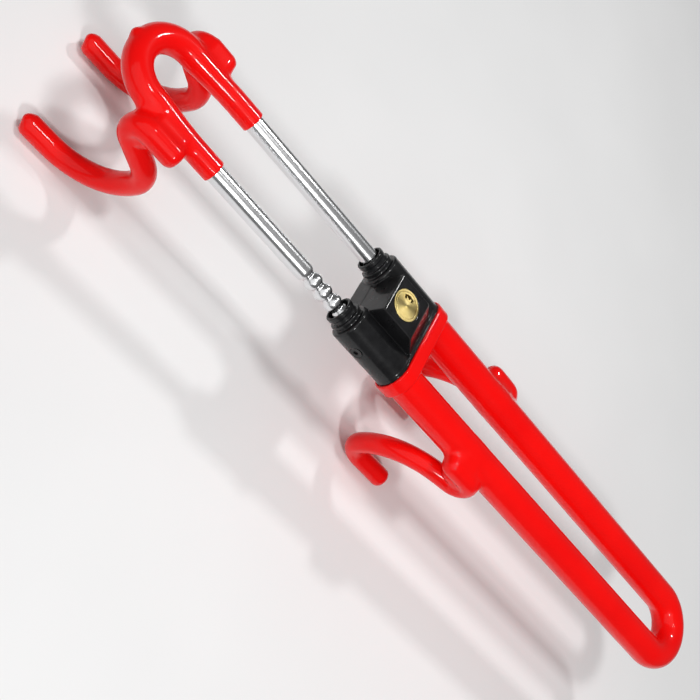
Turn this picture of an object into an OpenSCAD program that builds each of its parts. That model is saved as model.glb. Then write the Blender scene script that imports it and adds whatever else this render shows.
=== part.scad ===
// Steering wheel lock. Two joined steel rods slide out of a tubular handle through a lock
// housing, and hooks on the rods and on the handle hold the wheel rim from inside.
// In the modules, y = 0 is the axis of the key cylinder and z = 0 is the plane of the rods.
// in_place() moves each part to the model's own frame, where the hooks stand on z = 0.

/* [Rods] */
// Distance between the axes of the two rods, and of the two handle tubes
rod_gap = 46; // [45:0.5:47]
// Diameter of the steel rods
rod_d = 12; // [11.8:0.1:12]
// Diameter between the rings of the notched rod
waist_d = 8.6; // [8.4:0.1:8.8]
// Distance from one notch to the next
notch_pitch = 9; // [8.8:0.1:9.4]
// Notches that lie above the locking pin in the stored pose
notches_above = 6; // [4:1:7]
// Notches that lie below it, inside the handle
notches_below = 13; // [10:1:14]
// Distance from the key cylinder to the centre of the rods' bend
bow_y = 188.5; // [180:0.5:200]
// Distance from the key cylinder to the open ends of the vinyl on the rods
sleeve_y = 137; // [130:1:145]
// Thickness of the vinyl on the rods and hooks
vinyl_t = 1.2; // [1:0.1:1.4]

/* [Handle] */
// Outer diameter of the handle tube
tube_od = 20; // [19.6:0.1:20.4]
// Wall of the handle tube
tube_wall = 2; // [1.6:0.1:2]
// Thickness of the vinyl grip on the handle tube
grip_t = 2.1; // [1.8:0.1:2.4]
// Distance from the key cylinder to the centre of the handle's bend
handle_y = 346; // [330:1:360]

/* [Housing] */
// Diameter of the round lobe that each rod runs through
lobe_d = 26; // [25.6:0.2:26.4]
// Distance from the key cylinder to the mouths of the necks
neck_y = 27; // [26.5:0.5:29]
// Distance from the key cylinder to the housing's lower end
base_y = 31; // [30.5:0.5:32]
// Width of the raised block that holds the key cylinder
block_w = 30; // [29:0.5:31]
// Height of the block's face above the plane of the rods
face_z = 23.4; // [23:0.1:24]

/* [Lock] */
// Diameter of the brass cylinder
cylinder_d = 20.6; // [20:0.1:20.8]
// Diameter of the plug that the key turns
plug_d = 17.4; // [17:0.1:17.6]
// Diameter of the locking pin
pawl_d = 7.86; // [7.8:0.01:7.9]
// How far the locking pin moves into a notch
pawl_throw = 1.8; // [1.6:0.1:1.8]

/* [Hooks] */
// Diameter of the steel hooks
hook_d = 12; // [11.8:0.1:12]
// Drop from the plane of the rods to the axis of each hook's tip
hook_drop = 79.2; // [77:0.2:84]
// Radius of the tight U-bend beside each weld
u_bend_r = 8.5; // [8:0.5:9]
// Length of the left upper hook that is welded to its rod
left_upper_weld = 19; // [15:1:20]
// Length of the right upper hook that is welded to its rod
right_upper_weld = 14; // [13:1:18]
// Length of each lower hook that is welded to its tube
lower_weld = 20; // [16:1:22]
// Straight tip of the left upper hook
left_upper_tip = 17; // [12:1:20]
// Straight tip of the right upper hook
right_upper_tip = 17; // [12:1:22]
// Straight tip of each lower hook
lower_tip = 25; // [16:1:30]
// Angle by which the lower hooks lean in towards each other
lower_splay = 3.5; // [0:0.5:4]

/* [Hidden] */
$fn = 64;

red = [0.92, 0.09, 0.07];
black = [0.08, 0.08, 0.09];
brass = [0.78, 0.68, 0.33];
steel = [0.72, 0.73, 0.75];
nylon = [0.86, 0.85, 0.80];

cut = 0.5; // how far a cutting tool runs past the face that it cuts

rod_x = rod_gap / 2;
rod_r = rod_d / 2;
waist_r = waist_d / 2;
bow_coat_r = rod_r + vinyl_t + 0.1;
bend_coat_r = bow_coat_r + 0.7; // the vinyl is thicker around the bend, where it drained
travel_in = notches_above * notch_pitch;
travel_out = notches_below * notch_pitch;

tube_r = tube_od / 2;
tube_bore_r = tube_r - tube_wall;
grip_r = tube_r + grip_t;
tube_top_y = -14;

lobe_r = lobe_d / 2;
flat_z = lobe_r - 0.2; // half-thickness of the flats between the lobes
rod_bore_r = rod_r + 0.4;
bush_r = 7.6;
bush_low_y = 8;
bush_top_y = 22;
bush_bore_r = rod_r + 0.05;
land_y = -25.8; // where the slope below the key cylinder meets the flat
face_low_y = -13.8;
face_top_y = 12.4;
end_face_y = 16.4; // the end face leans back to here at the rear

plate_t = 6; // thickness of the collar plate
plate_y = -base_y - plate_t;
collar_r = 14.9;
collar_flat_z = 14.6;
collar_top_y = -28.5;
collar_low_y = plate_y - 1.4;
screw_x = 6;
screw_r = 2.5;
screw_tip_y = -19;
screw_head_r = 4.25;
screw_head_h = 3.6;
screw_socket_h = 2.2;
screw_access_r = 4.6;

shell_r = cylinder_d / 2;
plug_r = plug_d / 2;
plug_low_r = plug_r - 0.8;
plug_step_z = 14;
shell_low_z = 9.8;
plug_low_z = 8;
plug_top_z = face_z - 0.2;
plug_gap = 0.05;
clip_z = 8.7;
clip_t = 0.8;
clip_groove_r = 7;
cam_room_r = 9.7;
cam_room_z = 3.4;
cam_r = 7.2;
cam_low_z = 4.4;
cam_stub = 6;
cam_stub_h = 3;
cam_pin_r = 1.4;
cam_pin_low_z = -2.2;
cam_throw_r = pawl_throw / sqrt(2);
cam_pin_x = cam_throw_r * cos(45);
cam_pin_y = cam_throw_r * sin(45);

keyway_r = 7.1;
keyway_w = 1.3;
keyway_depth = 11.6;
keyway_angles = [-26, 42];
disc_count = 5;
disc_r = 8;
disc_t = 1.2;
disc_pitch = 1.7;
disc_low_z = 14.5;
disc_gap = 0.05;
sidebar_w = 1.4;
sidebar_x = -8.6;
sidebar_notch_r = 9.2;

pawl_y = 1;
pawl_r = pawl_d / 2;
pawl_bore_r = 4;
pawl_rest_gap = 0.4; // between the withdrawn pin and the rod
pawl_tip_x = -rod_x + rod_r + pawl_rest_gap;
pawl_back_x = 6;
pawl_nose_r = 1.5;
pawl_bore_end_x = 13;
pawl_slot = [2 * cam_pin_r + 0.3, 4];
pawl_slot_low_z = -2.6;
spring_seat_x = 3.4;
spring_seat_r = 2.5;
spring_r = 1.9;
spring_wire_r = 0.35;
spring_coils = 5;
bore_plug_x = [-35.7, -30.4];

stop_len = 8;
stop_top_y = tube_top_y - travel_out - 0.5;
stop_r = tube_bore_r - 0.3;
stop_pin_r = 1;
stop_pin_y = stop_top_y - stop_len / 2;
glide_floor = 3;
glide_len = 14;
glide_low_y = -handle_y + travel_in;
rod_low_y = glide_low_y + glide_floor;

// Each hook is one bent rod. A step is [length, 0] where it is straight and
// [radius, turn] where it bends; a heading of 0 runs along +Y and 90 runs up.
hook_r = hook_d / 2;
hook_coat_r = hook_r + vinyl_t + 0.1;
tip_round = 3.4;
slim = 0.03; // by which straight lengths are slimmer than bends
lap = 0.5; // by which straight lengths run into bends
weld_h = 5;
weld_inset = 2.5;
between_bends = 1.2; // straight length between two bends that turn the same way
thicken_y = bow_y - 16; // where the vinyl on the rods begins to thicken

// Each hook as [distance from the midplane, [y, z, heading] where its weld starts]
left_upper = [37, [157, 0.5, 0]];
right_upper = [35.4, [167, -1, 0]];
lower = [39.2, [98, 0, 0]]; // mirrored in Y when drawn
upper_lean = 148;
upper_knee = [17, 72];
upper_sweep_r = 46;
lower_lean = 163;
lower_sweep = [48, 68];
lower_knee_r = 15;

function upper_steps(weld, tip, arm) = [
    [weld, 0], [u_bend_r, -upper_lean], [arm, 0],
    upper_knee, [between_bends, 0],
    [upper_sweep_r, upper_lean - upper_knee[1]], [tip, 0]
];
function lower_steps(arm) = [
    [lower_weld, 0], [u_bend_r, -lower_lean], [arm, 0],
    lower_sweep, [between_bends, 0],
    [lower_knee_r, lower_lean - lower_sweep[1]], [lower_tip, 0]
];

// Where a bent rod stands after one step, as [y, z, heading]
function after_step(pose, s) =
    s[1] == 0
    ? [pose[0] + s[0] * cos(pose[2]), pose[1] + s[0] * sin(pose[2]), pose[2]]
    : let (side = sign(s[1]), h = pose[2] + s[1])
      [pose[0] + side * s[0] * (sin(h) - sin(pose[2])),
       pose[1] + side * s[0] * (cos(pose[2]) - cos(h)), h];
function poses(pose, steps, i = 0) =
    i == len(steps) ? [pose] : concat([pose], poses(after_step(pose, steps[i]), steps, i + 1));
function end_pose(start, steps) = poses(start, steps)[len(steps)];

// The straight arm after the U-bend is as long as the drop needs
function upper_route(start, weld, tip) =
    let (short = end_pose(start, upper_steps(weld, tip, 0))[1])
    upper_steps(weld, tip, (hook_drop + short) / sin(upper_lean));
left_upper_route = upper_route(left_upper[1], left_upper_weld, left_upper_tip);
right_upper_route = upper_route(right_upper[1], right_upper_weld, right_upper_tip);
lower_short = end_pose(lower[1], lower_steps(0))[1];
lower_route = lower_steps((hook_drop / cos(lower_splay) + lower_short) / sin(lower_lean));

wall = hook_coat_r - hook_r;
left_tip_y = end_pose(left_upper[1], left_upper_route)[0] + wall;
right_tip_y = end_pose(right_upper[1], right_upper_route)[0] + wall;
top_y = max(bow_y + rod_x + bend_coat_r, left_tip_y, right_tip_y);
low_y = -handle_y - rod_x - grip_r;
shift_y = -(top_y + low_y) / 2;
shift_z = hook_drop + hook_coat_r;

module in_place() {
    translate([0, shift_y, shift_z]) children();
}

module on_right() {
    mirror([1, 0, 0]) children();
}

module both_sides() {
    children();
    on_right() children();
}

// Turns a shape that stands on z = 0 so that it runs along +Y from y = 0
module along_y() {
    rotate([-90, 0, 0]) children();
}

module rod_y(r, from_y, to_y) {
    translate([0, from_y, 0]) along_y() cylinder(r = r, h = to_y - from_y);
}

module rod_z(r, from_z, to_z) {
    translate([0, 0, from_z]) cylinder(r = r, h = to_z - from_z);
}

module rod_along_x(r, from_x, to_x) {
    translate([from_x, 0, 0]) rotate([0, 90, 0]) cylinder(r = r, h = to_x - from_x);
}

module ring_2d(r, bore_r) {
    difference() {
        circle(r);
        if (bore_r > 0) circle(bore_r);
    }
}

// Half-turn of a round bar or tube in the plane of the rods
module half_turn(r, bore_r = 0) {
    rotate_extrude(angle = 180) translate([rod_x, 0]) ring_2d(r, bore_r);
}

// The end of a bent bar: it starts at the origin, runs along +Y and has a rounded rim
module rounded_end(r, length) {
    along_y() rotate_extrude() {
        square([r, length - tip_round]);
        square([r - tip_round, length]);
        translate([r - tip_round, length - tip_round]) intersection() {
            circle(tip_round);
            square(tip_round);
        }
    }
}

module bend(radius, turn, r) {
    mirror([0, 0, turn < 0 ? 1 : 0])
        translate([0, 0, radius])
            rotate([0, 90, 0])
                rotate_extrude(angle = abs(turn)) translate([radius, 0]) circle(r);
}

// A bar bent in the plane x = 0. Its straight lengths are a hair slimmer than its bends
// and run a little way into them, so that the lengths join without a seam.
module bent_bar(start, steps, r, extra = 0) {
    at = poses(start, steps);
    last = len(steps) - 1;
    slim_r = r - slim;
    translate([0, at[1][0] + lap, at[1][1]])
        mirror([0, 1, 0]) rounded_end(slim_r, steps[0][0] + lap + extra);
    for (i = [1:last - 1])
        translate([0, at[i][0], at[i][1]]) rotate([at[i][2], 0, 0])
            if (steps[i][1] == 0) rod_y(slim_r, -lap, steps[i][0] + lap);
            else bend(steps[i][0], steps[i][1], r);
    translate([0, at[last][0], at[last][1]]) rotate([at[last][2], 0, 0])
        translate([0, -lap, 0]) rounded_end(slim_r, steps[last][0] + lap + extra);
}

// Hooks are drawn on the left side, at x below 0

module weld_bead(hook_x, start, length) {
    translate([-hook_x, start[0] + weld_inset, start[1] - weld_h / 2])
        cube([hook_x - rod_x, length - 2 * weld_inset, weld_h]);
}

module upper_core(hook, route) {
    translate([-hook[0], 0, 0]) bent_bar(hook[1], route, hook_r);
    weld_bead(hook[0], hook[1], route[0][0]);
}

module left_upper_core() {
    upper_core(left_upper, left_upper_route);
}

module right_upper_core() {
    upper_core(right_upper, right_upper_route);
}

module upper_hook(hook, route) {
    difference() {
        upper_core(hook, route);
        translate([-rod_x, 0, 0]) rod_y(rod_r, hook[1][0] - 20, bow_y);
    }
}

module bow_outline() {
    both_sides() translate([-rod_x, 0, 0]) {
        rod_y(bow_coat_r, sleeve_y, thicken_y);
        translate([0, thicken_y, 0])
            along_y() cylinder(r1 = bow_coat_r, r2 = bend_coat_r, h = bow_y - thicken_y);
    }
    translate([0, bow_y, 0]) half_turn(bend_coat_r);
}

module upper_hook_coat(hook, route) {
    difference() {
        translate([-hook[0], 0, 0]) bent_bar(hook[1], route, hook_coat_r, wall);
        upper_core(hook, route);
        bow_outline();
    }
}

// Places a lower hook's weld, and leans the hook in about the axis of that weld
module at_lower_weld() {
    mirror([0, 1, 0]) translate([-lower[0], 0, 0]) rotate([0, -lower_splay, 0]) children();
}

module lower_core() {
    at_lower_weld() bent_bar(lower[1], lower_route, hook_r);
    mirror([0, 1, 0]) weld_bead(lower[0], lower[1], lower_weld);
}

module beside_lower_weld(r) {
    translate([-rod_x, 0, 0]) rod_y(r, -lower[1][0] - 50, -lower[1][0] + 30);
}

module lower_hook() {
    difference() {
        lower_core();
        beside_lower_weld(tube_r);
    }
}

module lower_hook_coat() {
    difference() {
        at_lower_weld() bent_bar(lower[1], lower_route, hook_coat_r, wall);
        lower_core();
        beside_lower_weld(grip_r);
    }
}

// Handle

module handle_u(r, bore_r, top_y) {
    both_sides() translate([-rod_x, -handle_y, 0])
        along_y() linear_extrude(top_y + handle_y) ring_2d(r, bore_r);
    translate([0, -handle_y, 0]) mirror([0, 1, 0]) half_turn(r, bore_r);
}

// Two lobes joined by flats, as the housing's foot, the collar and its vinyl are
module twin_lobes(r, flat, from_y, to_y) {
    both_sides() translate([-rod_x, 0, 0]) rod_y(r, from_y, to_y);
    translate([-rod_x, from_y, -flat]) cube([rod_gap, to_y - from_y, 2 * flat]);
}

module screw_places() {
    for (side = [-1, 1]) translate([side * screw_x, 0, 0]) children();
}

module handle_tube() {
    color(steel) in_place() handle_u(tube_r, tube_bore_r, tube_top_y);
}

module handle_coat() {
    color(red) in_place() difference() {
        union() {
            twin_lobes(collar_r, collar_flat_z, collar_low_y, collar_top_y);
            handle_u(grip_r, tube_r, collar_low_y + 1);
        }
        twin_lobes(lobe_r, flat_z, plate_y, collar_top_y + cut);
        both_sides() translate([-rod_x, 0, 0]) rod_y(tube_r, collar_low_y - cut, plate_y + cut);
        both_sides() lower_core();
        screw_places() rod_y(screw_access_r, collar_low_y - cut, plate_y + cut);
    }
}

module collar_plate() {
    color(steel) in_place() difference() {
        twin_lobes(lobe_r, flat_z, plate_y, -base_y);
        both_sides() translate([-rod_x, 0, 0]) rod_y(tube_r, plate_y - cut, cut - base_y);
        screw_places() {
            rod_y(screw_r + 0.2, plate_y - cut, cut - base_y);
            rod_y(screw_head_r + 0.2, plate_y - cut, plate_y + screw_head_h);
        }
    }
}

module collar_screws() {
    color(steel) in_place() screw_places() difference() {
        union() {
            rod_y(screw_r, plate_y + screw_head_h - cut, screw_tip_y);
            rod_y(screw_head_r, plate_y, plate_y + screw_head_h);
        }
        translate([0, plate_y - cut, 0]) along_y() cylinder(d = 4.6, h = screw_socket_h + cut, $fn = 6);
    }
}

// Housing

// Outline of one lobe with its grooved neck, as [radius, y]
lobe_profile = [
    [0, -base_y], [lobe_r, -base_y], [lobe_r, 15.4], [lobe_r - 1.2, 17],
    [9.8, 17.2], [9.8, 18.6], [10.6, 19], [10.6, 20.4], [8.8, 21.2], [8.8, 23.2],
    [9.3, 23.8], [9.3, neck_y - 0.7], [8.6, neck_y], [0, neck_y]
];

// Side view of the block, as [y, z]: a slope below the key cylinder and a leaning end face
block_profile = [
    [-base_y, -flat_z], [-base_y, flat_z], [land_y, flat_z], [face_low_y, face_z],
    [face_top_y, face_z], [end_face_y, -flat_z]
];

// Draws an outline given as [y, z] and makes it as wide as asked, about x = 0
module side_slab(width, outline) {
    rotate([90, 0, 90]) translate([0, 0, -width / 2]) linear_extrude(width) polygon(outline);
}

module housing_body() {
    both_sides() translate([-rod_x, 0, 0]) along_y() rotate_extrude() polygon(lobe_profile);
    side_slab(block_w, block_profile);
    side_slab(rod_gap, [[-base_y, -flat_z], [-base_y, 0], [15, 0], [end_face_y, -flat_z]]);
    translate([-rod_x, -base_y, -flat_z]) cube([rod_gap, land_y + base_y, 2 * flat_z]);
}

module lock_housing() {
    color(black) in_place() difference() {
        housing_body();
        both_sides() translate([-rod_x, 0, 0]) {
            rod_y(rod_bore_r, -base_y - cut, neck_y + cut);
            rod_y(tube_r, -base_y - cut, tube_top_y);
            rod_y(bush_r, bush_low_y, neck_y + cut);
        }
        rod_z(shell_r, shell_low_z, face_z + cut);
        rod_z(cam_room_r, cam_room_z, shell_low_z + cut);
        translate([0, pawl_y, 0]) rod_along_x(pawl_bore_r, -rod_x - lobe_r - cut, pawl_bore_end_x);
        screw_places() rod_y(screw_r, -base_y - cut, screw_tip_y + 1);
    }
}

module guide_bush() {
    translate([-rod_x, bush_low_y, 0])
        along_y() linear_extrude(bush_top_y - bush_low_y) ring_2d(bush_r, bush_bore_r);
}

module left_guide_bush() {
    color(black) in_place() guide_bush();
}

module right_guide_bush() {
    color(black) in_place() on_right() guide_bush();
}

module bore_plug() {
    color(black) in_place() translate([0, pawl_y, 0]) difference() {
        rod_along_x(pawl_bore_r, bore_plug_x[0], bore_plug_x[1]);
        rod_along_x(1.6, bore_plug_x[0] - cut, bore_plug_x[0] + 1);
    }
}

// Key cylinder

module cylinder_shell() {
    color(brass) in_place() difference() {
        rod_z(shell_r, shell_low_z, face_z);
        rod_z(plug_r + plug_gap, plug_step_z, face_z + cut);
        rod_z(plug_low_r + plug_gap, shell_low_z - cut, plug_step_z + cut);
        rotate(90) translate([-sidebar_notch_r, -sidebar_w / 2 - disc_gap, plug_step_z])
            cube([sidebar_notch_r - plug_low_r, sidebar_w + 2 * disc_gap, plug_top_z - 1 - plug_step_z]);
    }
}

// A slot that follows an arc, with three teeth on its inner side
module keyway_2d(grow = 0) {
    mid = (keyway_angles[0] + keyway_angles[1]) / 2;
    half = (keyway_angles[1] - keyway_angles[0]) / 2;
    intersection() {
        ring_2d(keyway_r + grow, keyway_r - keyway_w - grow);
        rotate(mid) polygon([[0, 0], [12, -12 * tan(half)], [12, 12 * tan(half)]]);
    }
    for (a = [mid - half + 4, mid, mid + half - 4])
        rotate(a) translate([keyway_r - keyway_w - 0.5, 0]) circle(0.9 + grow);
}

module disc_stack(gap) {
    for (i = [0:disc_count - 1])
        translate([0, 0, disc_low_z + i * disc_pitch - gap])
            cylinder(r = disc_r + gap, h = disc_t + 2 * gap);
}

// A bar in the plug's rim that the discs let fall when the key turns them into line
module sidebar_block(gap) {
    from_z = disc_low_z - gap;
    to_z = disc_low_z + (disc_count - 1) * disc_pitch + disc_t + gap;
    translate([sidebar_x - gap, -sidebar_w / 2 - gap, from_z])
        cube([sidebar_w + 2 * gap, sidebar_w + 2 * gap, to_z - from_z]);
}

module cam_stub_2d() {
    square(cam_stub, center = true);
}

module key_plug() {
    color(brass) in_place() difference() {
        union() {
            rod_z(plug_r, plug_step_z + plug_gap, plug_top_z);
            rod_z(plug_low_r, plug_low_z, plug_step_z + 2 * plug_gap);
        }
        translate([0, 0, clip_z - plug_gap]) linear_extrude(clip_t + 2 * plug_gap)
            ring_2d(plug_r + 1, clip_groove_r);
        translate([0, 0, plug_top_z - keyway_depth]) linear_extrude(keyway_depth + cut) keyway_2d();
        disc_stack(disc_gap);
        sidebar_block(disc_gap);
        translate([0, 0, plug_low_z - cut]) linear_extrude(cam_stub_h + cut) cam_stub_2d();
    }
}

module disc_tumblers() {
    color(brass) in_place() difference() {
        disc_stack(0);
        translate([0, 0, disc_low_z - cut]) linear_extrude(face_z - disc_low_z) keyway_2d(0.2);
        sidebar_block(disc_gap);
    }
}

module sidebar() {
    color(brass) in_place() sidebar_block(0);
}

module plug_circlip() {
    color(steel) in_place() translate([0, 0, clip_z]) linear_extrude(clip_t) difference() {
        ring_2d(cam_room_r - 0.4, clip_groove_r + plug_gap);
        polygon([[0, 0], [-14, 8], [-14, -8]]);
    }
}

module cam() {
    color(steel) in_place() {
        rod_z(cam_r, cam_low_z, plug_low_z);
        translate([0, 0, plug_low_z]) linear_extrude(cam_stub_h) cam_stub_2d();
        translate([cam_pin_x, cam_pin_y, 0]) rod_z(cam_pin_r, cam_pin_low_z, cam_low_z);
    }
}

// Locking pin: it lies withdrawn here, just clear of the notched rod

module pawl_outline() {
    flank = pawl_nose_r * (1 - cos(45));
    flank_y = pawl_nose_r * sin(45);
    reach = pawl_r - flank_y;
    translate([pawl_tip_x + pawl_nose_r, 0]) circle(pawl_nose_r);
    polygon([
        [pawl_tip_x + flank, -flank_y], [pawl_tip_x + flank + reach, -pawl_r],
        [pawl_back_x, -pawl_r], [pawl_back_x, pawl_r],
        [pawl_tip_x + flank + reach, pawl_r], [pawl_tip_x + flank, flank_y]
    ]);
}

module pawl() {
    color(steel) in_place() translate([0, pawl_y, 0]) difference() {
        intersection() {
            rod_along_x(pawl_r, pawl_tip_x - cut, pawl_back_x);
            translate([0, 0, -pawl_r - cut]) linear_extrude(pawl_d + 2 * cut) pawl_outline();
        }
        translate([cam_pin_x - pawl_slot[0] / 2, -1.9, pawl_slot_low_z])
            cube([pawl_slot[0], pawl_slot[1], pawl_d]);
        rod_along_x(spring_seat_r, spring_seat_x, pawl_back_x + cut);
    }
}

// A coil about the X axis, swept with eight sides
module coil(length, turns, r, wire_r) {
    sides = 8;
    rings = turns * 16;
    points = [
        for (i = [0:rings], k = [0:sides - 1])
            let (a = 360 * turns * i / rings, b = 360 * k / sides, q = r + wire_r * cos(b))
            [length * i / rings + wire_r * sin(b), q * cos(a), q * sin(a)]
    ];
    walls = [
        for (i = [0:rings - 1], k = [0:sides - 1])
            let (n = (k + 1) % sides)
            [i * sides + k, i * sides + n, (i + 1) * sides + n, (i + 1) * sides + k]
    ];
    first = [for (k = [sides - 1:-1:0]) k];
    last = [for (k = [0:sides - 1]) rings * sides + k];
    polyhedron(points, concat(walls, [first, last]));
}

module pawl_spring() {
    length = pawl_bore_end_x - spring_seat_x - 2 * spring_wire_r;
    color(steel) in_place() translate([spring_seat_x + spring_wire_r, pawl_y, 0])
        coil(length, spring_coils, spring_r, spring_wire_r);
}

// Rods

// Half-section of the notched rod: rings with round crests on a thinner core
module notched_rod_2d() {
    low = pawl_y - travel_out - notch_pitch / 2;
    high = pawl_y + travel_in + notch_pitch / 2;
    crest_r = 5;
    intersection() {
        union() {
            translate([0, rod_low_y]) square([rod_r, low - rod_low_y]);
            translate([0, low]) square([waist_r, high - low]);
            translate([0, high]) square([rod_r, bow_y - high]);
            for (i = [0:notches_above + notches_below + 1])
                translate([rod_r - crest_r, low + i * notch_pitch]) circle(crest_r);
        }
        translate([0, rod_low_y]) square([rod_r + 1, bow_y - rod_low_y]);
    }
}

module rod_bow() {
    color(steel) in_place() difference() {
        union() {
            translate([-rod_x, 0, 0]) along_y() rotate_extrude() notched_rod_2d();
            translate([rod_x, 0, 0]) rod_y(rod_r, rod_low_y, bow_y);
            translate([0, bow_y, 0]) half_turn(rod_r);
        }
        stop_pin_places() rod_along_x(stop_pin_r, -stop_r, stop_r);
    }
}

module bow_coat() {
    color(red) in_place() difference() {
        bow_outline();
        both_sides() translate([-rod_x, 0, 0]) rod_y(rod_r, sleeve_y - cut, bow_y);
        translate([0, bow_y, 0]) half_turn(rod_r);
        left_upper_core();
        on_right() right_upper_core();
    }
}

module stop_pin_places() {
    for (side = [-1, 1]) translate([side * rod_x, stop_pin_y, 0]) children();
}

module rod_stops() {
    color(steel) in_place() difference() {
        both_sides() translate([-rod_x, stop_top_y - stop_len, 0])
            along_y() linear_extrude(stop_len) ring_2d(stop_r, rod_r);
        stop_pin_places() rod_along_x(stop_pin_r, -stop_r - cut, stop_r + cut);
    }
}

module stop_pins() {
    color(steel) in_place() stop_pin_places() rod_along_x(stop_pin_r, 0.1 - stop_r, stop_r - 0.1);
}

module end_glides() {
    color(nylon) in_place() both_sides() translate([-rod_x, 0, 0]) difference() {
        rod_y(stop_r, glide_low_y, glide_low_y + glide_len);
        rod_y(rod_r, rod_low_y, glide_low_y + glide_len + cut);
    }
}

// Hooks by side

module left_lower_hook() {
    color(steel) in_place() lower_hook();
}

module right_lower_hook() {
    color(steel) in_place() on_right() lower_hook();
}

module left_lower_hook_coat() {
    color(red) in_place() lower_hook_coat();
}

module right_lower_hook_coat() {
    color(red) in_place() on_right() lower_hook_coat();
}

module left_upper_hook() {
    color(steel) in_place() upper_hook(left_upper, left_upper_route);
}

module right_upper_hook() {
    color(steel) in_place() on_right() upper_hook(right_upper, right_upper_route);
}

module left_upper_hook_coat() {
    color(red) in_place() upper_hook_coat(left_upper, left_upper_route);
}

module right_upper_hook_coat() {
    color(red) in_place() on_right() upper_hook_coat(right_upper, right_upper_route);
}

handle_tube();
handle_coat();
collar_plate();
collar_screws();
lock_housing();
left_guide_bush();
right_guide_bush();
bore_plug();
cylinder_shell();
pawl_spring();
left_lower_hook();
right_lower_hook();
left_lower_hook_coat();
right_lower_hook_coat();
rod_bow();
bow_coat();
left_upper_hook();
right_upper_hook();
left_upper_hook_coat();
right_upper_hook_coat();
rod_stops();
stop_pins();
end_glides();
key_plug();
disc_tumblers();
sidebar();
plug_circlip();
cam();
pawl();
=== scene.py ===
"""The looks of a steering wheel lock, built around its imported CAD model.

Lengths here are in millimetres, from the axis of the key cylinder (y = 0) and the plane of the
two rods (z = 0). to_frame() turns them into metres in the shared frame.
"""
import math
import bpy
import numpy as np
import openvdb
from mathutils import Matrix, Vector


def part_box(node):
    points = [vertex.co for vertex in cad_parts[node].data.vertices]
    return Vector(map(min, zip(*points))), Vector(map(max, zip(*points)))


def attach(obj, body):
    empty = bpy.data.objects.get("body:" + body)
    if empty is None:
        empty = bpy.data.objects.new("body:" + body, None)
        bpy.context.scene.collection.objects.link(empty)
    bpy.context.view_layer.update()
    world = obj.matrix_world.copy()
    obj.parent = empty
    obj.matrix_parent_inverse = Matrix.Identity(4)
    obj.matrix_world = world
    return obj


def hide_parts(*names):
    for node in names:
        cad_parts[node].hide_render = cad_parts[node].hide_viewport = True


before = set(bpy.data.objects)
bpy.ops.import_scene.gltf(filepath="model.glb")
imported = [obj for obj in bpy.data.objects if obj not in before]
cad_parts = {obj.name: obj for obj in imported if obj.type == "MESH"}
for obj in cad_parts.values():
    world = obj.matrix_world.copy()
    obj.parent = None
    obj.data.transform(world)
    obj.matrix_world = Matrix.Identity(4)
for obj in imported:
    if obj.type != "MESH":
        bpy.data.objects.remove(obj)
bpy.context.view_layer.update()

# Where the CAD model's own zero lies in the shared frame, in metres
key_low, key_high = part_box("cylinder_shell")
bow_low, bow_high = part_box("rod_bow")
LOCAL_ZERO = np.array([0, (key_low.y + key_high.y) / 2, (bow_low.z + bow_high.z) / 2])
MM = 0.001

# Rods
ROD_X = 23
ROD_R = 6
BOW_Y = 188.5
BOW_X = 21.1
SLEEVE_R = 7.3
BOW_R = 8.7
SLEEVE_Y = 137
NARROWS_FROM_Y = 150
THICKENS_FROM_Y = 160
THICKENS_OVER = 40
ROD_LOW_Y = (bow_low.y - LOCAL_ZERO[1]) / MM
NOTCH_PITCH = 9
CORE_R = 4.3
CREST_R = 5
FIRST_CREST_Y = 59.5
LAST_CREST_Y = -120.5
ROD_CHAMFER = 1.2
ROD_SIDES = 64
BEND_STEPS = 40
RING_STEP = 0.3

# Handle
GRIP_R = 12.1
HANDLE_Y = -346
COLLAR_R = 14.9
COLLAR_Y = [-38.4, -28.4]
PLATE_Y = -37
SCREW_X = 6
SCREW_ACCESS_R = 4.6

# Housing
LOBE_R = 13
LOBE_TOP_Y = 17
BASE_Y = -31
FACE_Z = 23.4
BLOCK_HALF = 15
BLOCK_LOW_Z = -12.8
WEB_HALF_Z = 6.4
FOOT_R = 12.9
FOOT_TOP_Y = -25.8
NECK_R = 8.8
NECK_TOP_Y = 26.9
# Rings around each neck, each as radius, lower y, upper y and how round its rims are
NECK_RINGS = [[10.6, 18.7, 20.7, 0.5], [9.3, 23.5, 27, 0.7], [9.8, 15, 18.9, 0.1]]
# Faces of the block that lean: where each meets the face as [y, z], and the way it looks
END_FACE = ([12.4, FACE_Z], [36.2, 4])
SLOPE = ([-13.8, FACE_Z], [-10.6, 12])
ROD_BORE_R = 6.4
BUSH_SEAT_R = 7.6
BUSH_LOW_Y = 8
TUBE_SEAT_R = 10
TUBE_TOP_Y = -14
PIN_BORE_R = 4.05

# Key cylinder
SHELL_R = 10.3
SHELL_LOW_Z = 9.8
PLUG_R = 8.7
PLUG_SHANK_R = 7.9
PLUG_GAP = 0.08
PLUG_TOP_Z = 23.2
CAM_ROOM_R = 9.7
CAM_ROOM_Z = 3.4
KEYWAY_R = 6.45
KEYWAY_HALF_W = 0.65
KEYWAY_FLOOR_Z = 11.6
KEYWAY_ANGLES = [math.radians(-26), math.radians(42)]
TOOTH_PLACE_R = 5.3
TOOTH_R = 0.9

# Hooks
HOOK_R = 7.3
HOOK_DROP = 79.2
U_BEND_R = 8.5
DIP = 1.3  # thickness of the dip over a hook's ends
FILL_DIP = 1.0  # depth of the dip's surface below the line that would span weld and rod
WEB_GAP = 6  # widest gap inside a U-bend that the dip closes
WEB_R = 5.5
TIP_EDGE = 4.6
WELD_DOME = 7
LOWER_SPLAY = math.radians(3.5)


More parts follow.
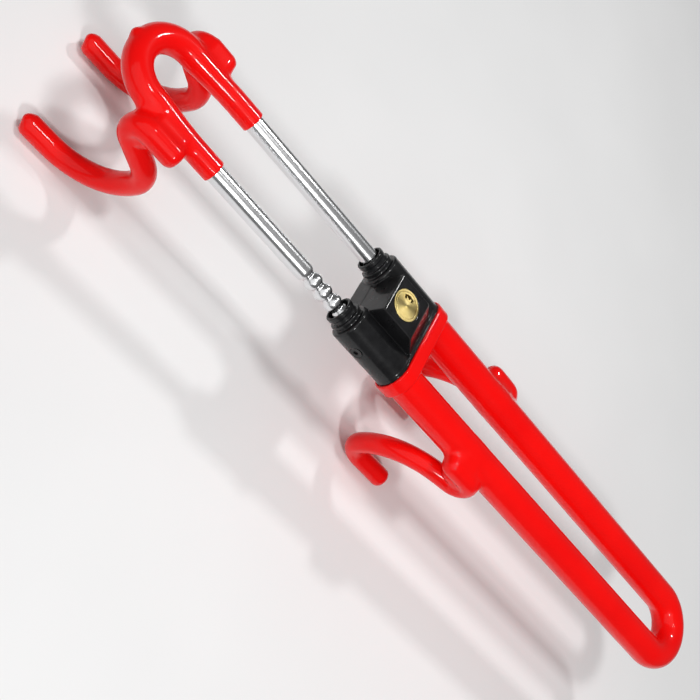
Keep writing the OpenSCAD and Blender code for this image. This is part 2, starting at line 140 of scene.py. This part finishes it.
def hook_route(start_z, weld, u_turn, curves, drop):
    """Route of a hook: its weld, U-bend and straight arm, and the curves that follow.

    In a route [length, 0] is straight and [radius, degrees] bends; every route sets out along +Y.
    The arm is as long as it has to be for the hook's tip to lie at z = -drop.
    """
    heading, low = -math.radians(u_turn), start_z - U_BEND_R * (1 - math.cos(math.radians(u_turn)))
    for size, turn in curves:
        if turn == 0:
            low += size * math.sin(heading)
        else:
            low += size * (math.cos(heading) - math.cos(heading + math.radians(turn)))
            heading += math.radians(turn)
    arm = (drop + low) / math.sin(math.radians(u_turn))
    return [[weld, 0], [U_BEND_R, -u_turn], [arm, 0], *curves]


# Each hook as the distance from the midplane, [y, z] where its weld starts, and its route
UPPER_CURVES = [[17, 72], [1.2, 0], [46, 76], [17, 0]]
LOWER_CURVES = [[48, 68], [1.2, 0], [15, 95], [25, 0]]
LEFT_UPPER = (37, [157, 0.5], hook_route(0.5, 19, 148, UPPER_CURVES, HOOK_DROP))
RIGHT_UPPER = (35.4, [167, -1], hook_route(-1, 14, 148, UPPER_CURVES, HOOK_DROP))
LOWER = (39.2, [98, 0],
         hook_route(0, 20, 163, LOWER_CURVES, HOOK_DROP / math.cos(LOWER_SPLAY)))

# Where the dip dripped off the ends that hung lowest, and the size of each drip
BOW_DRIPS = [[-0.5, 217.0, 2.0], [-37, 220.2, -76.0], [35.4, 227.5, -76.0]]
DRIP_R = 2.2


def to_frame(points):
    return np.asarray(points, float) * MM + LOCAL_ZERO


# ---------------------------------------------------------------- distance fields
# Each takes points as an array of rows and returns the signed distance to one shape.


def melt(a, b, reach):
    """Union of two shapes with a fillet about as wide as reach."""
    h = np.clip(0.5 + 0.5 * (b - a) / reach, 0, 1)
    return b * (1 - h) + a * h - reach * h * (1 - h)


def carve(a, b, reach):
    """Shape a without shape b, with a soft edge."""
    return -melt(-a, b, reach)


def common(a, b, reach):
    """What two shapes share, with a soft edge."""
    return -melt(-a, -b, reach)


def round_corner(across, along, edge):
    """Distance to a corner with a rounded edge, from the distances to its two faces."""
    inside = np.minimum(np.maximum(across + edge, along + edge), 0)
    return inside + np.hypot(np.maximum(across + edge, 0), np.maximum(along + edge, 0)) - edge


def bar(p, a, b, radius, edge):
    """Round bar from a to b with rounded rims."""
    a, b = np.array(a, float), np.array(b, float)
    length = np.linalg.norm(b - a)
    way = (b - a) / length
    offset = p - (a + b) / 2
    along = offset @ way
    across = np.linalg.norm(offset - along[:, None] * way, axis=1)
    return round_corner(across - radius, np.abs(along) - length / 2, edge)


def bend(p, centre, radius, first, turn, thick):
    """Part of a ring in a plane of constant x. Angles run from +Y towards +Z, in radians."""
    y, z = p[:, 1] - centre[1], p[:, 2] - centre[2]
    x = p[:, 0] - centre[0]
    middle = first + turn / 2
    off = (np.arctan2(z, y) - middle + math.pi) % (2 * math.pi) - math.pi
    spot = middle + np.clip(off, -abs(turn) / 2, abs(turn) / 2)
    dy = y - radius * np.cos(spot)
    dz = z - radius * np.sin(spot)
    return np.sqrt(x * x + dy * dy + dz * dz) - thick


def domed_bar(p, start, way, length, edge):
    """Coated bar with a square start, which lies inside a bend, and a domed end."""
    offset = p - start
    along = offset @ way
    across = np.linalg.norm(offset - along[:, None] * way, axis=1)
    return np.maximum(round_corner(across - HOOK_R, along - length, edge), -along)


def smooth(t):
    """Eases from 0 to 1 as t does."""
    t = np.clip(t, 0, 1)
    return t * t * (3 - 2 * t)


def hook(p, hook_x, start, route, weld_edge):
    """Coated bar that follows a route in the plane x = hook_x."""
    here, heading = np.array([hook_x, *start], float), 0.0
    shape = np.full(len(p), np.inf)
    for i, (size, turn) in enumerate(route):
        way = np.array([0, math.cos(heading), math.sin(heading)])
        if turn == 0:
            there = here + size * way
            if i == 0:
                part = domed_bar(p, there, -way, size + DIP, weld_edge)
            elif i == len(route) - 1:
                part = domed_bar(p, here, way, size + DIP, TIP_EDGE)
            else:
                part = bar(p, here, there, HOOK_R, 0.1)
        else:
            side = math.copysign(1, turn)
            centre = here + side * size * np.array([0, -way[2], way[1]])
            swing = math.radians(turn)
            part = bend(p, centre, size, heading - side * math.pi / 2, swing, HOOK_R)
            if size == U_BEND_R:
                # The dip closes the gap inside the U-bend as far as it stays narrow
                reach = (WEB_GAP - 2 * (size - HOOK_R)) / math.tan(math.pi - abs(swing))
                web = bar(p, centre - reach * way, centre + WEB_R * way, WEB_R, WEB_R - 0.1)
                part = melt(part, web, 3)
            heading += swing
            there = centre - side * size * np.array([0, -math.sin(heading), math.cos(heading)])
        here = there
        shape = np.minimum(shape, part)
    return shape


def weld_fill(p, hook_x, from_y, length, rod_r, edge):
    """The filled valley between a hook's weld and the coated rod or tube beside it.

    Its outline is the band that would span two circles of unlike size, drawn in by FILL_DIP.
    """
    gap = hook_x - ROD_X
    narrowing = (rod_r - HOOK_R) / gap
    slope = math.sqrt(1 - narrowing ** 2)
    out, up = p[:, 0] - ROD_X, np.abs(p[:, 2])
    reach = slope * out - narrowing * up
    across = slope * up + narrowing * out - rod_r
    across = np.where(reach < 0, np.hypot(out, up) - rod_r, across)
    across = np.where(reach > slope * gap, np.hypot(out - gap, up) - HOOK_R, across)
    along = np.abs(p[:, 1] - from_y - length / 2) - length / 2
    return round_corner(across + FILL_DIP, along, edge)


def drip(p, spot):
    """Bead that the dip left where it dripped off."""
    return np.linalg.norm(p - np.array(spot), axis=1) - DRIP_R


def u_tube(p, bend_y, half_gap, radius, upward):
    """Two tubes and the half-turn that joins them beyond bend_y."""
    past = (p[:, 1] > bend_y) if upward else (p[:, 1] < bend_y)
    across = np.where(past, np.hypot(p[:, 0], p[:, 1] - bend_y), np.abs(p[:, 0])) - half_gap
    return np.hypot(across, p[:, 2]) - radius


def oval(p, radius, from_y, to_y, edge):
    """Stadium around both rods between two heights along them."""
    across = np.hypot(np.maximum(np.abs(p[:, 0]) - ROD_X, 0), p[:, 2]) - radius
    along = np.maximum(from_y - p[:, 1], p[:, 1] - to_y)
    return round_corner(across, along, edge)


def on_right(p):
    """Points measured on the right, where both sides are alike."""
    return np.column_stack([np.abs(p[:, 0]), p[:, 1], p[:, 2]])


def with_upper_hook(sleeve, p, hook_x, start, route):
    """The coated bow's outline with one upper hook and the fill beside its weld."""
    shape = melt(sleeve, hook(p, hook_x, start, route, TIP_EDGE), 7)
    fill = weld_fill(p, hook_x, start[0] + 1, route[0][0] + 4, SLEEVE_R, 4)
    return melt(shape, fill, 2)


def bow_vinyl_field(p):
    """Sleeves and half-turn, which thicken towards the end that hung lowest, with their hooks."""
    narrow = smooth((p[:, 1] - NARROWS_FROM_Y) / (BOW_Y - NARROWS_FROM_Y))
    thick = smooth((p[:, 1] - THICKENS_FROM_Y) / THICKENS_OVER)
    half_gap = ROD_X - (ROD_X - BOW_X) * narrow
    radius = SLEEVE_R + (BOW_R - SLEEVE_R) * thick
    sleeve = common(u_tube(p, BOW_Y, half_gap, radius, True), SLEEVE_Y - p[:, 1], 1.0)
    shape = np.empty(len(p))
    left = p[:, 0] < 0
    shape[left] = with_upper_hook(sleeve[left], p[left] * [-1, 1, 1], *LEFT_UPPER)
    shape[~left] = with_upper_hook(sleeve[~left], p[~left], *RIGHT_UPPER)
    for spot in BOW_DRIPS:
        shape = melt(shape, drip(p, spot), 4)
    return shape


def handle_vinyl_field(p):
    q = on_right(p)
    tubes = u_tube(q, HANDLE_Y, ROD_X, GRIP_R, False)
    tubes = np.maximum(tubes, p[:, 1] - (COLLAR_Y[0] + 1))
    grip = melt(tubes, oval(q, COLLAR_R, *COLLAR_Y, 1.2), 1.2)
    # The lower hooks are laid out upside down, and lean in towards each other
    hook_x, start, route = LOWER
    flipped = q * [1, -1, 1]
    out = q[:, 0] - hook_x
    turned = np.column_stack([
        hook_x + out * math.cos(LOWER_SPLAY) - q[:, 2] * math.sin(LOWER_SPLAY), -q[:, 1],
        out * math.sin(LOWER_SPLAY) + q[:, 2] * math.cos(LOWER_SPLAY)])
    dipped = melt(grip, hook(turned, hook_x, start, route, WELD_DOME), 6)
    fill = weld_fill(flipped, hook_x, start[0] + 1, route[0][0] + 3, GRIP_R, 8)
    dipped = melt(dipped, fill, 2)
    room = oval(q, LOBE_R, PLATE_Y, 0, 0.2)
    access = bar(q, [SCREW_X, PLATE_Y - 6, 0], [SCREW_X, PLATE_Y + 2, 0], SCREW_ACCESS_R, 0.2)
    return carve(carve(dipped, room, 0.4), access, 0.8)


def skin(name, field, low, high, voxel):
    """Closed mesh of the surface where a field is zero, with the field's own normals."""
    low = np.array(low, float)
    counts = np.ceil((np.array(high) - low) / voxel).astype(int) + 1
    rows, columns = [low[i] + voxel * np.arange(counts[i]) for i in (1, 2)]
    y, z = np.meshgrid(rows, columns, indexing="ij")
    values = np.empty(counts, np.float32)
    for i in range(counts[0]):
        sheet = np.column_stack([np.full(y.size, low[0] + voxel * i), y.ravel(), z.ravel()])
        values[i] = field(sheet).reshape(y.shape)
    band = 3 * voxel
    grid = openvdb.FloatGrid(band)
    grid.copyFromArray(np.clip(values, -band, band), tolerance=0)
    points, quads = grid.convertToQuads(0)
    points = low + np.array(points, float) * voxel
    # Newton steps put each point on the true surface
    for _ in range(4):
        slope = gradient(field, points)
        step = field(points) / np.maximum((slope * slope).sum(1), 0.2)
        points -= np.clip(step, -voxel, voxel)[:, None] * slope
    mesh = bpy.data.meshes.new(name)
    mesh.from_pydata(to_frame(points), [], np.array(quads).tolist())
    piece = add_piece(name, mesh)
    normals = gradient(field, points)
    normals /= np.linalg.norm(normals, axis=1)[:, None]
    mesh.normals_split_custom_set_from_vertices(normals.tolist())
    return piece


def gradient(field, points, reach=0.02):
    steps = np.eye(3) * reach
    return np.column_stack([(field(points + s) - field(points - s)) / (2 * reach) for s in steps])


def add_piece(name, mesh):
    mesh.validate()
    mesh.polygons.foreach_set("use_smooth", [True] * len(mesh.polygons))
    piece = bpy.data.objects.new(name, mesh)
    bpy.context.scene.collection.objects.link(piece)
    return piece


# ---------------------------------------------------------------- rods


def ringed_radius(y):
    """Radius of the notched rod: rings with round crests along its middle."""
    if y > FIRST_CREST_Y or y < LAST_CREST_Y:
        return ROD_R
    from_crest = abs((y - FIRST_CREST_Y + NOTCH_PITCH / 2) % NOTCH_PITCH - NOTCH_PITCH / 2)
    ring = ROD_R - CREST_R + math.sqrt(CREST_R ** 2 - from_crest ** 2)
    return float(-melt(np.array(-ring), np.array(-CORE_R), 0.5))


def rod_bar(name):
    """The whole bent bar: ringed left leg, half-turn, plain right leg, with chamfered ends.

    Each ring of points is the x and y of its centre, the bar's heading there, and its radius.
    """
    end_y, rim_y, rim_r = ROD_LOW_Y, ROD_LOW_Y + ROD_CHAMFER, ROD_R - ROD_CHAMFER
    rings = [(-ROD_X, end_y, 0, rim_r), (-ROD_X, rim_y, 0, ROD_R)]
    rings += [(-ROD_X, y, 0, ROD_R) for y in np.arange(end_y + 20, LAST_CREST_Y - 6, 20)]
    ringed = np.arange(LAST_CREST_Y - 5, FIRST_CREST_Y + 5, RING_STEP)
    rings += [(-ROD_X, y, 0, ringed_radius(y)) for y in ringed]
    rings += [(-ROD_X, y, 0, ROD_R) for y in np.arange(FIRST_CREST_Y + 10, BOW_Y - 5, 20)]
    for i in range(BEND_STEPS + 1):
        angle = math.pi * i / BEND_STEPS
        rings.append((-ROD_X * math.cos(angle), BOW_Y + ROD_X * math.sin(angle), angle, ROD_R))
    rings += [(ROD_X, y, math.pi, ROD_R) for y in np.arange(BOW_Y - 20, end_y + 10, -20)]
    rings += [(ROD_X, rim_y, math.pi, ROD_R), (ROD_X, end_y, math.pi, rim_r)]
    points, faces = [], []
    for x, y, angle, radius in rings:
        for k in range(ROD_SIDES):
            turn = 2 * math.pi * k / ROD_SIDES
            out = radius * math.cos(turn)
            spot = [x + out * math.cos(angle), y - out * math.sin(angle), radius * math.sin(turn)]
            points.append(spot)
    for i in range(len(rings) - 1):
        low, high = i * ROD_SIDES, (i + 1) * ROD_SIDES
        for k in range(ROD_SIDES):
            n = (k + 1) % ROD_SIDES
            faces.append([low + k, low + n, high + n, high + k])
    faces.append(list(range(ROD_SIDES))[::-1])
    faces.append([(len(rings) - 1) * ROD_SIDES + k for k in range(ROD_SIDES)])
    mesh = bpy.data.meshes.new(name)
    mesh.from_pydata(to_frame(points), [], faces)
    return add_piece(name, mesh)


# ---------------------------------------------------------------- housing and key cylinder


def collar_ring(q, radius, from_y, to_y, edge):
    return bar(q, [ROD_X, from_y, 0], [ROD_X, to_y, 0], radius, edge)


def plane(p, point, way):
    """Half-space below a plane that passes x = 0 at the given y and z."""
    way = np.array(way, float) / np.hypot(*way)
    return (p[:, 1] - point[0]) * way[0] + (p[:, 2] - point[1]) * way[1]


def housing_field(p):
    q = on_right(p)
    lobe = collar_ring(q, LOBE_R, BASE_Y, LOBE_TOP_Y, 1.5)
    neck = collar_ring(q, NECK_R, 0, NECK_TOP_Y, 0.3)
    for ring in NECK_RINGS:
        neck = np.minimum(neck, collar_ring(q, *ring))
    lobe = melt(lobe, neck, 0.4)
    end_face = plane(p, *END_FACE)
    block = common(p[:, 2] - FACE_Z, q[:, 0] - BLOCK_HALF, 1.0)
    block = common(block, end_face, 1.0)
    block = common(block, plane(p, *SLOPE), 1.0)
    block = common(block, BLOCK_LOW_Z - p[:, 2], 1.0)
    block = common(block, BASE_Y - p[:, 1], 0.5)
    web = common(np.abs(p[:, 2] + WEB_HALF_Z) - WEB_HALF_Z, q[:, 0] - ROD_X, 0.5)
    web = common(common(web, end_face, 1.0), BASE_Y - p[:, 1], 0.5)
    foot = oval(q, FOOT_R, BASE_Y, FOOT_TOP_Y, 0.8)
    shape = melt(melt(lobe, block, 0.7), np.minimum(web, foot), 0.7)
    bores = collar_ring(q, ROD_BORE_R, BASE_Y - 1, 30, 0.05)
    bores = np.minimum(bores, collar_ring(q, BUSH_SEAT_R, BUSH_LOW_Y, 30, 0.05))
    bores = np.minimum(bores, collar_ring(q, TUBE_SEAT_R, BASE_Y - 1, TUBE_TOP_Y, 0.05))
    shape = carve(shape, bores, 0.4)
    shape = carve(shape, bar(p, [0, 0, SHELL_LOW_Z], [0, 0, 30], SHELL_R, 0.05), 0.4)
    shape = carve(shape, bar(p, [0, 0, CAM_ROOM_Z], [0, 0, 10], CAM_ROOM_R, 0.05), 0.3)
    return carve(shape, bar(p, [-40, 1, 0], [13, 1, 0], PIN_BORE_R, 0.05), 0.6)


def plug_field(p):
    face = bar(p, [0, 0, 14.05], [0, 0, PLUG_TOP_Z], PLUG_R, 0.25)
    shank = bar(p, [0, 0, 8], [0, 0, 15], PLUG_SHANK_R, 0.1)
    return carve(np.minimum(face, shank), keyway_field(p), 0.15)


def keyway_field(p):
    """Curved slot near the plug's rim, with three teeth on its inner side."""
    first, last = KEYWAY_ANGLES
    radius = np.hypot(p[:, 0], p[:, 1])
    middle = (first + last) / 2
    off = np.abs(np.arctan2(p[:, 1], p[:, 0]) - middle) - (last - first) / 2
    slot = round_corner(np.abs(radius - KEYWAY_R) - KEYWAY_HALF_W, off * radius, 0.2)
    inset = math.radians(4)
    for angle in (first + inset, middle, last - inset):
        x, y = TOOTH_PLACE_R * math.cos(angle), TOOTH_PLACE_R * math.sin(angle)
        slot = np.minimum(slot, np.hypot(p[:, 0] - x, p[:, 1] - y) - TOOTH_R)
    return round_corner(slot, KEYWAY_FLOOR_Z - p[:, 2], 0.1)


def shell_field(p):
    body = bar(p, [0, 0, SHELL_LOW_Z], [0, 0, FACE_Z], SHELL_R, 0.3)
    body = carve(body, bar(p, [0, 0, 14], [0, 0, 30], PLUG_R + PLUG_GAP, 0.05), 0.2)
    return carve(body, bar(p, [0, 0, 5], [0, 0, 20], PLUG_SHANK_R + PLUG_GAP, 0.05), 0.2)


# ---------------------------------------------------------------- materials


class Paint:
    """A node-based material with a Principled shader, built a step at a time."""

    def __init__(self, name, **values):
        self.material = bpy.data.materials.new(name)
        self.material.use_nodes = True
        self.nodes = self.material.node_tree.nodes
        self.links = self.material.node_tree.links
        self.shader = self.nodes["Principled BSDF"]
        self.place = self.nodes.new("ShaderNodeTexCoord").outputs["Object"]
        for key, value in values.items():
            self.shader.inputs[key.replace("_", " ")].default_value = value

    def noise(self, scale, detail=3.0, stretch=(1, 1, 1)):
        mapping = self.nodes.new("ShaderNodeMapping")
        mapping.inputs["Scale"].default_value = stretch
        texture = self.nodes.new("ShaderNodeTexNoise")
        texture.inputs["Scale"].default_value = scale
        texture.inputs["Detail"].default_value = detail
        self.links.new(self.place, mapping.inputs["Vector"])
        self.links.new(mapping.outputs["Vector"], texture.inputs["Vector"])
        return texture.outputs["Fac"]

    def spread(self, fac, low, high, socket):
        """Drives a shader socket between two values."""
        span = self.nodes.new("ShaderNodeMapRange")
        span.inputs["To Min"].default_value = low
        span.inputs["To Max"].default_value = high
        span.inputs["From Min"].default_value = 0.3
        span.inputs["From Max"].default_value = 0.7
        self.links.new(fac, span.inputs["Value"])
        self.links.new(span.outputs["Result"], self.shader.inputs[socket])

    def tint(self, fac, low, high):
        ramp = self.nodes.new("ShaderNodeValToRGB")
        ramp.color_ramp.elements[0].position = 0.3
        ramp.color_ramp.elements[1].position = 0.7
        ramp.color_ramp.elements[0].color = (*low, 1)
        ramp.color_ramp.elements[1].color = (*high, 1)
        self.links.new(fac, ramp.inputs["Fac"])
        self.links.new(ramp.outputs["Color"], self.shader.inputs["Base Color"])

    def bump(self, fac, height):
        """Adds one layer of relief; layers stack in the order they are asked for."""
        layer = self.nodes.new("ShaderNodeBump")
        layer.inputs["Distance"].default_value = height
        layer.inputs["Strength"].default_value = 1.0
        self.links.new(fac, layer.inputs["Height"])
        if self.shader.inputs["Normal"].links:
            below = self.shader.inputs["Normal"].links[0].from_socket
            self.links.new(below, layer.inputs["Normal"])
        self.links.new(layer.outputs["Normal"], self.shader.inputs["Normal"])


def red_vinyl():
    paint = Paint("red_vinyl", Specular_IOR_Level=0.05,
                  Coat_Weight=1.0, Coat_Roughness=0.05, Coat_IOR=1.28)
    paint.tint(paint.noise(18), (0.80, 0.002, 0.002), (0.88, 0.004, 0.003))
    paint.spread(paint.noise(60), 0.34, 0.46, "Roughness")
    paint.bump(paint.noise(35, 2), 0.0002)
    paint.bump(paint.noise(420, 4), 0.00003)
    return paint.material


def black_paint():
    paint = Paint("black_paint", Specular_IOR_Level=0.12, Coat_Weight=0.5, Coat_Roughness=0.07)
    paint.tint(paint.noise(90), (0.006, 0.006, 0.0065), (0.011, 0.011, 0.012))
    paint.spread(paint.noise(260, 4), 0.25, 0.42, "Roughness")
    paint.bump(paint.noise(120, 3), 0.00012)
    paint.bump(paint.noise(900, 4), 0.00002)
    return paint.material


def bright_plate():
    paint = Paint("bright_plate", Metallic=1.0)
    paint.tint(paint.noise(40, 4, (1, 0.2, 1)), (0.72, 0.73, 0.74), (0.84, 0.84, 0.85))
    paint.spread(paint.noise(120, 3, (1, 0.05, 1)), 0.2, 0.26, "Roughness")
    return paint.material


def turned_brass():
    """Brass faced on a lathe: fine rings about the key cylinder's axis."""
    paint = Paint("turned_brass", Metallic=1.0, Roughness=0.42, Anisotropic=0.8)
    centre = paint.nodes.new("ShaderNodeMapping")
    centre.inputs["Location"].default_value = (0, -LOCAL_ZERO[1], 0)
    paint.links.new(paint.place, centre.inputs["Vector"])
    paint.place = centre.outputs["Vector"]
    rings = paint.nodes.new("ShaderNodeTexWave")
    rings.wave_type = "RINGS"
    rings.rings_direction = "Z"
    rings.inputs["Scale"].default_value = 900
    rings.inputs["Distortion"].default_value = 0.6
    paint.links.new(paint.place, rings.inputs["Vector"])
    paint.tint(paint.noise(300), (0.70, 0.54, 0.19), (0.82, 0.67, 0.30))
    paint.bump(rings.outputs["Fac"], 0.00001)
    tangent = paint.nodes.new("ShaderNodeTangent")
    tangent.direction_type = "RADIAL"
    tangent.axis = "Z"
    paint.links.new(tangent.outputs["Tangent"], paint.shader.inputs["Tangent"])
    return paint.material


def drawn_steel():
    paint = Paint("drawn_steel", Metallic=1.0, Roughness=0.4)
    paint.tint(paint.noise(120, 4), (0.35, 0.35, 0.36), (0.52, 0.52, 0.53))
    paint.spread(paint.noise(400, 4), 0.3, 0.5, "Roughness")
    paint.bump(paint.noise(700), 0.00002)
    return paint.material


def moulded(name, low, high):
    paint = Paint(name, Roughness=0.5)
    paint.tint(paint.noise(150), low, high)
    paint.spread(paint.noise(500, 4), 0.42, 0.58, "Roughness")
    paint.bump(paint.noise(800), 0.00002)
    return paint.material


def floor_paper():
    paint = Paint("floor_paper", Roughness=0.8)
    paint.tint(paint.noise(6, 2), (0.80, 0.80, 0.80), (0.83, 0.83, 0.83))
    return paint.material


def wear(piece, material):
    piece.data.materials.clear()
    piece.data.materials.append(material)


# ---------------------------------------------------------------- the object

vinyl = red_vinyl()
black = black_paint()
plate = bright_plate()
brass = turned_brass()
steel = drawn_steel()
black_nylon = moulded("black_nylon", (0.015, 0.015, 0.015), (0.03, 0.03, 0.03))
pale_nylon = moulded("pale_nylon", (0.70, 0.68, 0.60), (0.78, 0.76, 0.70))


def place(piece, body, slot, material, *nodes):
    wear(piece, material)
    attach(piece, body)
    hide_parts(*nodes)


VINYL_VOXEL = 1.0
bow_vinyl = skin("bow_vinyl", bow_vinyl_field, [-46, 130, -90], [46, 232, 12], VINYL_VOXEL * 0.8)
place(bow_vinyl, "sliding_bow", "red_vinyl", vinyl,
      "bow_coat", "left_upper_hook_coat", "right_upper_hook_coat")
handle_vinyl = skin("handle_vinyl", handle_vinyl_field, [-50, -385, -90], [50, -25, 18], VINYL_VOXEL)
place(handle_vinyl, "handle", "red_vinyl", vinyl,
      "handle_coat", "left_lower_hook_coat", "right_lower_hook_coat")
housing = skin("housing_casting", housing_field, [-38, -33, -15], [38, 29, 25], 0.6)
place(housing, "handle", "black_paint", black, "lock_housing")
rods = rod_bar("ringed_rod_bar")
place(rods, "sliding_bow", "plated_steel", plate, "rod_bow")
plug = skin("plug_face", plug_field, [-9.2, -9.2, 7.5], [9.2, 9.2, 23.7], 0.2)
place(plug, "plug", "brass", brass, "key_plug")
shell = skin("brass_shell", shell_field, [-10.8, -10.8, 9.3], [10.8, 10.8, 23.9], 0.25)
place(shell, "handle", "brass", brass, "cylinder_shell")

NODE_MATERIALS = {
    "bore_plug": black, "left_guide_bush": black_nylon, "right_guide_bush": black_nylon,
    "end_glides": pale_nylon, "disc_tumblers": brass, "sidebar": brass,
}
for name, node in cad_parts.items():
    wear(node, NODE_MATERIALS.get(name, steel))


# ---------------------------------------------------------------- stage, lights, camera

FLOOR_HALF = 6
LIT_POINT = Vector((0, 0.08, 0.06))
CAMERA_MM = [-358.8, 247.6, 423.2]
CAMERA_DEGREES = [13.25, -41.81, -55.87]


def add_floor():
    mesh = bpy.data.meshes.new("floor")
    corners = [(-1, -1), (1, -1), (1, 1), (-1, 1)]
    points = [(FLOOR_HALF * x, FLOOR_HALF * y, 0) for x, y in corners]
    mesh.from_pydata(points, [], [(0, 1, 2, 3)])
    floor = add_piece("floor", mesh)
    wear(floor, floor_paper())


def add_softbox(name, way, distance, size, power):
    """Soft light that stands out from the middle of the lock in a given direction."""
    data = bpy.data.lights.new(name, "AREA")
    data.shape = "SQUARE"
    data.size = size
    data.energy = power
    light = bpy.data.objects.new(name, data)
    bpy.context.scene.collection.objects.link(light)
    out = Vector(way).normalized()
    light.location = LIT_POINT + distance * out
    light.rotation_euler = (-out).to_track_quat("-Z", "Y").to_euler()


def add_camera():
    data = bpy.data.cameras.new("camera")
    data.sensor_width = 36
    data.lens = 50.0
    data.shift_x = 0.004
    data.shift_y = -0.0086
    camera = bpy.data.objects.new("camera", data)
    bpy.context.scene.collection.objects.link(camera)
    camera.location = to_frame(CAMERA_MM)
    camera.rotation_euler = [math.radians(a) for a in CAMERA_DEGREES]
    bpy.context.scene.camera = camera


def add_world():
    world = bpy.data.worlds.new("studio")
    world.use_nodes = True
    background = world.node_tree.nodes["Background"]
    background.inputs["Color"].default_value = (1, 1, 1, 1)
    background.inputs["Strength"].default_value = 0.12
    bpy.context.scene.world = world


add_floor()
add_world()
add_softbox("right_light", (0.6, -0.09, 0.8), 1.4, 0.11, 5)
add_softbox("left_light", (-0.67, -0.16, 0.72), 1.4, 0.16, 7)
add_softbox("top_light", (0, 0.1, 1), 1.4, 0.2, 6)
add_softbox("front_light", (-0.6, 0.4, 0.7), 2.0, 2.6, 18)
add_camera()
bpy.context.scene.view_settings.view_transform = "Standard"
